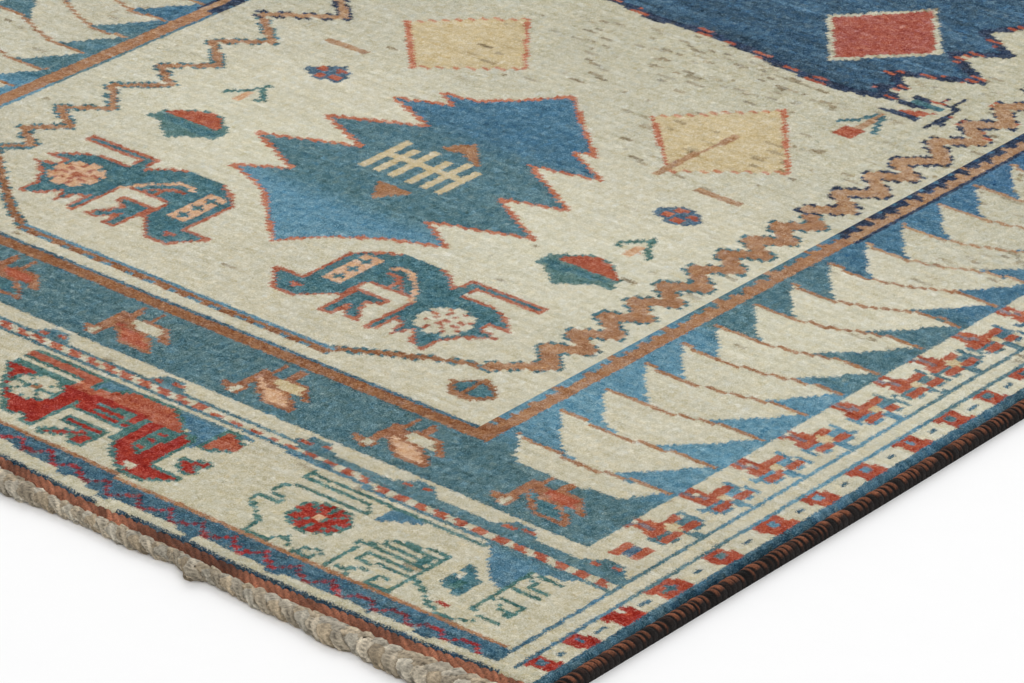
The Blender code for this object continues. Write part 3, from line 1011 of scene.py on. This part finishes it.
def strip_object(name, points, plain, material, random, left, right):
    """Turns the knots into a mesh that knows each knot's colour and those beside and above it."""
    rows, columns = points.shape[:2]
    colours = varied(plain, random)
    padded = np.pad(colours, ((1, 1), (1, 1), (0, 0)), mode="edge")
    beside, above = [], []
    for across, up in ((-1, -1), (1, -1), (1, 1), (-1, 1)):
        beside.append(padded[1:-1, 1 + across:columns + across])
        above.append(padded[1 + up:rows + up, 1:-1])
    sets = {"wool": [colours] * 4, "wool_beside": beside, "wool_above": above}
    faces = grid_faces(rows, columns)
    counts = np.meshgrid(np.arange(columns), np.arange(rows))
    uvs = corner_values(np.stack(counts, -1), faces)
    skirt_points, skirt_faces, skirt_colours, skirt_uvs = skirts(points, colours, left, right)
    all_points = np.concatenate([points.reshape(-1, 3), skirt_points])
    all_faces = np.concatenate([faces, skirt_faces])
    all_colours = {}
    for title, corners in sets.items():
        all_colours[title] = np.concatenate([np.stack(corners, 2).reshape(-1, 3), skirt_colours])
    all_uvs = np.concatenate([uvs, skirt_uvs])
    return mesh_object(name, all_points, all_faces, material, all_uvs, all_colours)


def skirts(points, colours, left, right):
    """Walls from the pile's shorn edge down to the floor, at both ends and on an outer side, painted darker
    than the top as shade on the sides.
    """
    rows, columns = points.shape[:2]
    number = np.arange(rows * columns).reshape(rows, columns)
    runs = [(number[0, ::-1], colours[0, ::-1]), (number[-1, :], colours[-1, :])]
    if left < -OUTSIDE:
        runs.append((number[:, 0], colours[:, 0]))
    if right > OUTSIDE:
        runs.append((number[::-1, -1], colours[::-1, -1]))
    flat = points.reshape(-1, 3)
    new_points, new_faces, new_colours, new_uvs = [], [], [], []
    count = rows * columns
    for run, colour in runs:
        low = flat[run].copy()
        low[:, 2] = 0.0
        lower = np.arange(count, count + len(run))
        count += len(run)
        new_points.append(low)
        new_faces.append(np.stack([run[1:], run[:-1], lower[:-1], lower[1:]], 1)[:, ::-1])
        # Painted shade: the walls take the edge knots' colour at 0.8.
        new_colours.append(np.repeat(colour * 0.8, 4, axis=0))
        place = np.arange(len(run))
        quad = np.stack([place[1:], place[:-1], place[:-1], place[1:]], 1)[:, ::-1]
        drop = np.tile([1.0, 1.0, 0.0, 0.0], (len(run) - 1, 1))
        new_uvs.append(np.stack([quad, drop], -1).reshape(-1, 2))
    return tuple(np.concatenate(part) for part in (new_points, new_faces, new_colours, new_uvs))


# Materials

class Nodes:
    """Short calls for building one material's node tree."""

    def __init__(self, name, roughness, sheen):
        self.material = bpy.data.materials.new(name)
        self.material.use_nodes = True
        self.tree = self.material.node_tree
        self.shader = self.tree.nodes["Principled BSDF"]
        self.shader.inputs["Roughness"].default_value = roughness
        self.shader.inputs["Specular IOR Level"].default_value = 0.1
        self.shader.inputs["Sheen Weight"].default_value = sheen
        self.shader.inputs["Sheen Roughness"].default_value = 0.6

    def add(self, kind, inputs=(), **settings):
        node = self.tree.nodes.new(kind)
        for key, value in settings.items():
            setattr(node, key, value)
        for socket, value in dict(inputs).items():
            if isinstance(value, bpy.types.NodeSocket):
                self.tree.links.new(value, node.inputs[socket])
            else:
                node.inputs[socket].default_value = value
        return node

    def colour(self, socket):
        self.tree.links.new(socket, self.shader.inputs["Base Color"])

    def bump(self, height, strength, distance):
        node = self.add("ShaderNodeBump", {"Height": height, "Strength": strength, "Distance": distance})
        self.tree.links.new(node.outputs["Normal"], self.shader.inputs["Normal"])

    def noise(self, vector, scale, detail=2.0, roughness=0.5):
        inputs = {"Vector": vector, "Scale": scale, "Detail": detail, "Roughness": roughness}
        return self.add("ShaderNodeTexNoise", inputs).outputs["Fac"]

    def mapped(self, socket, from_range, to_range):
        inputs = {"Value": socket, "From Min": from_range[0], "From Max": from_range[1]}
        inputs.update({"To Min": to_range[0], "To Max": to_range[1]})
        return self.add("ShaderNodeMapRange", inputs).outputs["Result"]

    def math(self, operation, first, second):
        return self.add("ShaderNodeMath", {0: first, 1: second}, operation=operation).outputs[0]

    def stretched(self, vector, scale):
        return self.add("ShaderNodeVectorMath", {0: vector, 1: scale}, operation="MULTIPLY").outputs[0]

    def times(self, colour, factor):
        """Colour made lighter or darker by a factor."""
        return self.add("ShaderNodeVectorMath", {0: colour, "Scale": factor}, operation="SCALE").outputs[0]

    def mixed(self, share, first, second):
        node = self.add("ShaderNodeMix", data_type="RGBA")
        for socket, value in ((node.inputs[0], share), (node.inputs[6], first), (node.inputs[7], second)):
            if isinstance(value, bpy.types.NodeSocket):
                self.tree.links.new(value, socket)
            elif isinstance(value, tuple):
                socket.default_value = (*value, 1)
            else:
                socket.default_value = value
        return node.outputs[2]


def pile_material():
    """Knotted wool: the chart's colours, with ragged knot edges, fibres, rows of knots and dust."""
    nodes = Nodes("pile_wool", 0.95, 0.0)
    place = nodes.add("ShaderNodeTexCoord").outputs["Object"]
    knots = nodes.add("ShaderNodeSeparateXYZ", {0: nodes.add("ShaderNodeUVMap", uv_map="Yarn").outputs["UV"]})
    fibres = nodes.noise(nodes.stretched(place, (1.0, 1.3, 1.0)), 1150, 2, 0.7)
    tufts = nodes.noise(place, 430, 2, 0.6)
    colour = nodes.add("ShaderNodeVertexColor", layer_name="wool").outputs["Color"]
    edges = []
    for axis, layer, scale in ((0, "wool_beside", 620), (1, "wool_above", 760)):
        part = nodes.math("FRACT", knots.outputs[axis], 0.0)
        away = nodes.math("ABSOLUTE", nodes.math("SUBTRACT", part, 0.5), 0.0)
        shifted = nodes.add("ShaderNodeVectorMath", {0: place, 1: (0.13 * axis + 0.07, 0.31, 0.0)}).outputs[0]
        ragged = nodes.noise(shifted, scale, 2, 0.6)
        over = nodes.math("ADD", nodes.math("MULTIPLY", nodes.math("SUBTRACT", away, 0.5), 0.42), ragged)
        share = nodes.mapped(over, (0.44, 0.56), (0.0, 1.0))
        other = nodes.add("ShaderNodeVertexColor", layer_name=layer).outputs["Color"]
        colour = nodes.mixed(share, colour, other)
        edges.append(nodes.math("POWER", nodes.math("MULTIPLY", away, 2.0), 5.0))
    fine = nodes.mapped(fibres, (0.25, 0.75), (-0.62, 0.62))
    coarse = nodes.mapped(tufts, (0.25, 0.75), (0.84, 1.16))
    gamma = nodes.math("ADD", fine, coarse)
    colour = nodes.add("ShaderNodeGamma", {"Color": colour, "Gamma": gamma}).outputs[0]
    streaks = nodes.noise(nodes.stretched(place, (0.12, 1.0, 1.0)), 260, 2, 0.6)
    colour = nodes.times(colour, nodes.mapped(streaks, (0.3, 0.7), (0.94, 1.06)))
    dust = nodes.noise(place, 9, 4, 0.6)
    colour = nodes.times(colour, nodes.mapped(dust, (0.3, 0.7), (0.96, 1.04)))
    nodes.colour(colour)
    grooves = nodes.math("MULTIPLY", nodes.math("ADD", edges[0], edges[1]), -0.12)
    nodes.bump(nodes.math("ADD", fibres, grooves), 0.6, 0.0009)
    return nodes.material


def yarn_material(name, roughness, sheen, fleck, bump):
    """Spun yarn in the mesh's own colours, with its twist and stray fibres."""
    nodes = Nodes(name, roughness, sheen)
    place = nodes.add("ShaderNodeTexCoord").outputs["Object"]
    wool = nodes.add("ShaderNodeVertexColor", layer_name="wool").outputs["Color"]
    fibres = nodes.noise(place, 900, 3, 0.65)
    patches = nodes.noise(place, 130, 2, 0.5)
    colour = nodes.times(wool, nodes.mapped(fibres, (0.28, 0.72), (1 - fleck, 1 + fleck)))
    colour = nodes.times(colour, nodes.mapped(patches, (0.3, 0.7), (0.85, 1.15)))
    nodes.colour(colour)
    yarn = nodes.add("ShaderNodeUVMap", uv_map="Yarn").outputs["UV"]
    twist = nodes.add("ShaderNodeTexWave", {"Vector": yarn, "Scale": 1.0, "Distortion": 1.2, "Detail": 1.0},
                      bands_direction="DIAGONAL").outputs["Fac"]
    nodes.bump(nodes.math("ADD", fibres, nodes.math("MULTIPLY", twist, 0.5)), bump, 0.0009)
    return nodes.material


# Overcast side cords

def overcast_cord(name, material, random, turned):
    """The side cord wrapped with slanting turns of yarn: near black, with rust showing along its top, and
    painted shade in the grooves between wraps and between plies.
    """
    pitch = 0.0050
    start = front_line(RUG_HALF_WIDTH) + GAP
    end = -front_line(-RUG_HALF_WIDTH) - GAP
    wraps = int((end - start) / pitch)
    along = wraps * 12
    over = 10
    share = np.linspace(0, 1, along + 1)[:, None]
    angle = math.pi * np.linspace(0, 1, over + 1)[None, :]
    y = between(start, end, share)
    turn = share * wraps + 1.5 * (angle / math.pi - 0.5) + 0.22 * np.sin(y * 61) + 0.16 * np.sin(y * 143 + 1)
    number = np.clip(np.floor(turn).astype(int) + 2, 0, wraps + 4)
    uneven = random.normal(0, 0.16, wraps + 5)[number]
    part = turn - np.floor(turn)
    plies = 1 - 0.5 * np.exp(-((part - 0.42 - 0.2 * uneven) / 0.07) ** 2)
    ridge = np.sin(math.pi * part) ** 0.5
    radius = 0.82 + 0.18 * ridge * (1 + uneven) * (0.8 + 0.2 * plies)
    middle = right_edge(y) - CORD_WIDTH / 2
    x = middle + np.cos(angle) * CORD_WIDTH / 2 * np.where(np.sin(angle) > 0.02, radius, 0.9)
    z = CORD_HEIGHT * (0.30 + 0.70 * np.sin(angle) * radius)
    z = z * np.clip(np.sin(angle) * 8, 0, 1) ** 0.5
    y = y * np.ones(angle.shape) + 0.0012 * np.sin(angle) * uneven
    points = np.stack([x, np.clip(y, start, end), np.maximum(z, 0)], -1)
    rust_share = wrap_shares(wraps + 5, random)[number]
    rust_share = rust_share * eased((0.36 + 0.5 * uneven - np.abs(part - 0.5)) / 0.16)
    rust_share = rust_share * eased((angle - 0.35 - 1.2 * uneven) / 0.6) * eased((3.05 - angle) / 0.4)
    dark = linear(CORD_DARK) * (1 + 1.6 * uneven[..., None])
    rust = linear(CORD_RUST) * (1 + 1.2 * uneven[..., None])
    # Painted shade: each wrap is darkened towards the grooves between wraps and along the groove between its
    # plies.
    colours = between(dark, rust, rust_share[..., None]) * (0.45 + 0.55 * ridge * plies)[..., None]
    uvs = np.stack([turn, np.ones(turn.shape) * angle * 2.2], -1)
    return laid_grid(name, points, uvs, colours, material, turned)


def wrap_shares(count, random):
    """How much rust yarn shows on each turn of the overcasting: two to four turns of it, then a dark one."""
    shares = random.uniform(0.7, 1.0, count)
    turn = 0
    while turn < count:
        turn += int(random.integers(2, 5))
        shares[turn:turn + 1] = random.uniform(0.0, 0.3)
        turn += 1
    return shares


# Twined bands

def twined_band(name, material, random, turned):
    """The fuzzy rust band past the last knots: strands twined along it at a low slant, with painted shade in
    the grooves between stitches.
    """
    along = 1340
    over = (0.0, 0.03, 0.1, 0.2, 0.32, 0.44, 0.56, 0.68, 0.8, 0.9, 0.97, 1.0, 1.0)
    reach = RUG_HALF_WIDTH - 0.0013
    pitch = 0.0070
    share, x = np.meshgrid(over, np.linspace(-reach, reach, along + 1))
    inner = front_line(x) - GAP
    y = between(inner - BAND_WIDTH, inner + BAND_LAP, share)
    arch = np.sin(math.pi * np.clip(0.66 * share + 0.06, 0, 1)) ** 0.5
    stitch = x / pitch + 2.5 * share + 0.35 * np.sin(x * 60) + 0.2 * np.sin(x * 163 + 1)
    part = stitch - np.floor(stitch)
    ridge = np.sin(math.pi * part) ** 0.6
    lump = 0.0005 * np.cos(2 * math.pi * x / 0.018) * np.sin(5 * x + 1)
    z = (BAND_HEIGHT + 0.0012 * share) * arch * (0.77 + 0.23 * ridge) + lump * arch
    z = z + random.normal(0, UNEVEN, z.shape)
    y = y + random.normal(0, 0.00015, y.shape) * (share > 0) * (share < 1)
    z[:, 0] = 0.0
    z[:, -1] = 0.0
    points = np.stack([x, y, np.maximum(z, 0)], -1)
    number = np.floor(stitch).astype(int)
    number = number - number.min()
    tone = random.normal(1, 0.2, number.max() + 1)
    light, deep = linear(BAND_LIGHT), linear(BAND_DEEP)
    patch = np.clip(0.66 + 0.55 * np.sin(x * 71 + 0.6) * np.sin(x * 29 + 2) + 0.25 * np.sin(x * 17), 0, 1)
    base = between(deep, light, patch[..., None])
    # Painted shade: darker towards the grooves between stitches, with a random tone on each point.
    shade = (0.5 + 0.5 * ridge) * random.normal(1, 0.1, z.shape)
    colours = base * tone[number][..., None] * shade[..., None]
    uvs = np.stack([stitch * 1.5, share * 4], -1)
    return laid_grid(name, points, uvs, colours, material, turned)


# Plaited warp ends

def tube(path, radius, sides, lobes, twist, squash, depth=0.13):
    """Rings of points round a path that runs mostly along X, lobed like a plied bundle of yarns."""
    step = np.gradient(path, axis=0)
    step = step / np.linalg.norm(step, axis=1, keepdims=True)
    up = np.tile([0.0, 0.0, 1.0], (len(path), 1))
    side = np.cross(step, up)
    side = side / np.linalg.norm(side, axis=1, keepdims=True)
    rise = np.cross(side, step)
    angle = np.linspace(0, 2 * math.pi, sides, endpoint=False)[None, :]
    turn = (np.arange(len(path)) * twist)[:, None]
    lobe = 1 + depth * (2 * np.abs(np.cos(lobes * (angle + turn) / 2)) - 1)
    reach = radius[:, None] * lobe
    points = path[:, None, :] + side[:, None, :] * (reach * np.cos(angle))[..., None]
    points = points + rise[:, None, :] * (squash * reach * np.sin(angle))[..., None]
    return points, lobe, angle + turn


def plaited_end(name, material, random, turned):
    """Three thick strands of warp yarn plaited flat along the end of the rug, with painted shade in the
    crevices between plies.
    """
    reach = RUG_HALF_WIDTH - 0.003
    count = 760
    sides = 16
    pitch = 0.0306
    x = np.linspace(-reach, reach, count)
    outer = plait_line(x)
    inner = front_line(x) - BAND_WIDTH + PLAIT_LAP
    width = inner - outer
    phase = 2 * math.pi * x / pitch + 0.5 * np.sin(x * 23) + 0.4 * np.sin(x * 61 + 1)
    parts = []
    for strand in range(3):
        theta = phase + 2 * math.pi * strand / 3
        thick = np.clip(width * 0.34, 0.0034, 0.0050)
        thick = thick * (1 + 0.12 * np.sin(x * 97 + strand * 2) + 0.08 * np.sin(x * 230 + strand))
        swing = np.maximum(width / 2 - thick * 0.9, 0.0005)
        y = (inner + outer) / 2 + swing * np.sin(theta)
        path = np.stack([x, y, 0.0044 + 0.0021 * np.sin(2 * theta)], 1)
        points, lobe, turn = tube(path, thick, sides, 4, 0.42, 0.76, 0.2)
        points = points + random.normal(0, 0.0002, points.shape)
        points[..., 2] = np.clip(points[..., 2], 0.0, PLAIT_HEIGHT + 0.0012)
        points[..., 1] = np.clip(points[..., 1], outer[:, None], inner[:, None])
        # Painted shade: each strand is darkened in the crevices between its plies, full colour on their
        # crowns.
        tone = between(0.26, 1.0, np.clip((lobe - 0.80) / 0.34, 0, 1))
        bundle = np.floor((turn * 4 / (2 * math.pi)) + 0.5).astype(int)
        shade = random.normal(1, 0.14, bundle.max() - bundle.min() + 1)[bundle - bundle.min()]
        patch = (1 + 0.12 * np.sin(x * 37 + strand) + random.normal(0, 0.09, count))[:, None]
        warmth = 0.5 + 0.5 * np.sin(x * 53 + 2 * strand)[:, None, None]
        base = between(linear(WARP_PALE), linear(WARP_WARM), warmth)
        uvs = np.stack([np.repeat(np.arange(count)[:, None] * 0.5, sides, 1), turn * 2.5], -1)
        parts.append((points, uvs, base * (tone * shade * patch)[..., None], np.ones(sides)))
    return tubes(name, parts, material, turned)


def warp_bundles(name, material, random, turned):
    """Bundles of warp that leave the plait and slip under the twined band here and there, with painted shade
    in the crevices between plies.
    """
    place = -RUG_HALF_WIDTH + 0.030
    sides = 8
    rings = 14
    share = np.linspace(0, 1, rings)
    parts = []
    while place < RUG_HALF_WIDTH - 0.012:
        length = random.uniform(0.006, 0.008)
        lean = random.uniform(-0.016, -0.011)
        thick = random.uniform(0.0015, 0.0020)
        x = place + lean * share
        y = front_line(x) - BAND_WIDTH - 0.003 + length * share
        path = np.stack([x, y, 0.0058 + 0.0006 * np.sin(math.pi * share)], 1)
        radius = thick * (1 - 0.35 * share ** 2) * (1 + 0.12 * np.sin(share * 19))
        points, lobe, turn = tube(path, radius, sides, 3, 0.5, 0.7)
        uvs = np.stack([np.repeat(share[:, None] * 6, sides, 1), turn], -1)
        # Painted shade: darker in the crevices between the bundle's plies.
        colours = linear(BUNDLE_WARP) * (lobe ** 3)[..., None]
        parts.append((points, uvs, colours, random.normal(1, 0.08, sides)))
        place += random.uniform(0.045, 0.095)
    return tubes(name, parts, material, turned)


# Camera, floor and light

def photo_camera():
    """A long lens, low over the near corner, looking along the rug."""
    focal = 4989.0
    turn = math.radians(49.23)
    low = math.radians(26.97)
    width, height = 1024, 683
    right = Vector((math.sin(turn), math.cos(turn), 0.0))
    level = Vector((-math.cos(turn), math.sin(turn), 0.0))
    forward = level * math.cos(low) - Vector((0, 0, math.sin(low)))
    up = level * math.sin(low) + Vector((0, 0, math.cos(low)))
    seen = Vector((0.3712, -0.8096, PILE_HEIGHT))
    pixel = (520.0, 500.0)
    away = 3.092
    ray = forward + right * (pixel[0] - width / 2) / focal - up * (pixel[1] - height / 2) / focal
    camera_data = bpy.data.cameras.new("photo_camera")
    camera_data.sensor_width = 36.0
    camera_data.lens = focal / width * 36.0
    camera_data.clip_end = 50.0
    camera = bpy.data.objects.new("photo_camera", camera_data)
    axes = Matrix((right, up, -forward)).transposed().to_4x4()
    camera.matrix_world = Matrix.Translation(seen - ray.normalized() * away) @ axes
    bpy.context.scene.collection.objects.link(camera)
    bpy.context.scene.camera = camera


def pale_floor():
    size = 14.0
    corners = [(-size, -size, 0), (size, -size, 0), (size, size, 0), (-size, size, 0)]
    nodes = Nodes("pale_floor", 0.9, 0.0)
    place = nodes.add("ShaderNodeTexCoord").outputs["Object"]
    grain = nodes.noise(place, 40, 3, 0.6)
    nodes.colour(nodes.mixed(grain, (0.95, 0.95, 0.95), (0.97, 0.97, 0.97)))
    mesh = bpy.data.meshes.new("pale_floor")
    mesh.from_pydata(corners, [], [(0, 1, 2, 3)])
    mesh.materials.append(nodes.material)
    floor = bpy.data.objects.new("pale_floor", mesh)
    bpy.context.scene.collection.objects.link(floor)


def area_light(name, place, target, size, power):
    data = bpy.data.lights.new(name, "AREA")
    data.shape = "RECTANGLE"
    data.size, data.size_y = size
    data.energy = power
    light = bpy.data.objects.new(name, data)
    light.location = place
    light.rotation_euler = (Vector(target) - Vector(place)).to_track_quat("-Z", "Y").to_euler()
    bpy.context.scene.collection.objects.link(light)


def studio():
    area_light("key_light", (-2.6, 2.2, 3.4), (0.0, 0.0, 0.0), (3.0, 3.0), 84)
    area_light("fill_light", (3.0, -2.6, 3.0), (0.0, 0.0, 0.0), (3.0, 3.0), 38)
    world = bpy.data.worlds.new("studio")
    world.use_nodes = True
    world.node_tree.nodes["Background"].inputs["Color"].default_value = (1, 1, 1, 1)
    world.node_tree.nodes["Background"].inputs["Strength"].default_value = 0.75
    bpy.context.scene.world = world
    bpy.context.scene.view_settings.view_transform = "Standard"


# Putting it together

def declare(piece, node):
    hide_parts(node)
    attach(piece, "root")


def make_pile():
    material = pile_material()
    random = np.random.default_rng(SEED)
    reach = RUG_HALF_WIDTH - CORD_WIDTH - GAP
    inner = reach - BORDER_KNOTS * KNOT
    for name, left, right in (("pile_left_border", -reach, -inner), ("pile_field", -inner, inner),
                              ("pile_right_border", inner, reach)):
        piece = pile_strip(name, left, right, material, random)
        declare(piece, "pile_rug")


def make_edges():
    random = np.random.default_rng(SEED + 1)
    cord_wool = yarn_material("selvedge_wool", 0.85, 0.03, 0.5, 0.6)
    rust = yarn_material("twined_wool", 0.95, 0.05, 0.5, 0.9)
    warp = yarn_material("warp_yarn", 0.95, 0.05, 0.34, 0.8)
    declare(overcast_cord("overcast_right", cord_wool, random, False), "selvedge_right")
    declare(overcast_cord("overcast_left", cord_wool, random, True), "selvedge_left")
    for end, turned in (("front", False), ("back", True)):
        declare(twined_band("twining_" + end, rust, random, turned), "twined_band_" + end)
        declare(plaited_end("plait_" + end, warp, random, turned), "plaited_end_" + end)
        declare(warp_bundles("warp_bundles_" + end, warp, random, turned), "plaited_end_" + end)


photo_camera()
pale_floor()
studio()
make_pile()
make_edges()
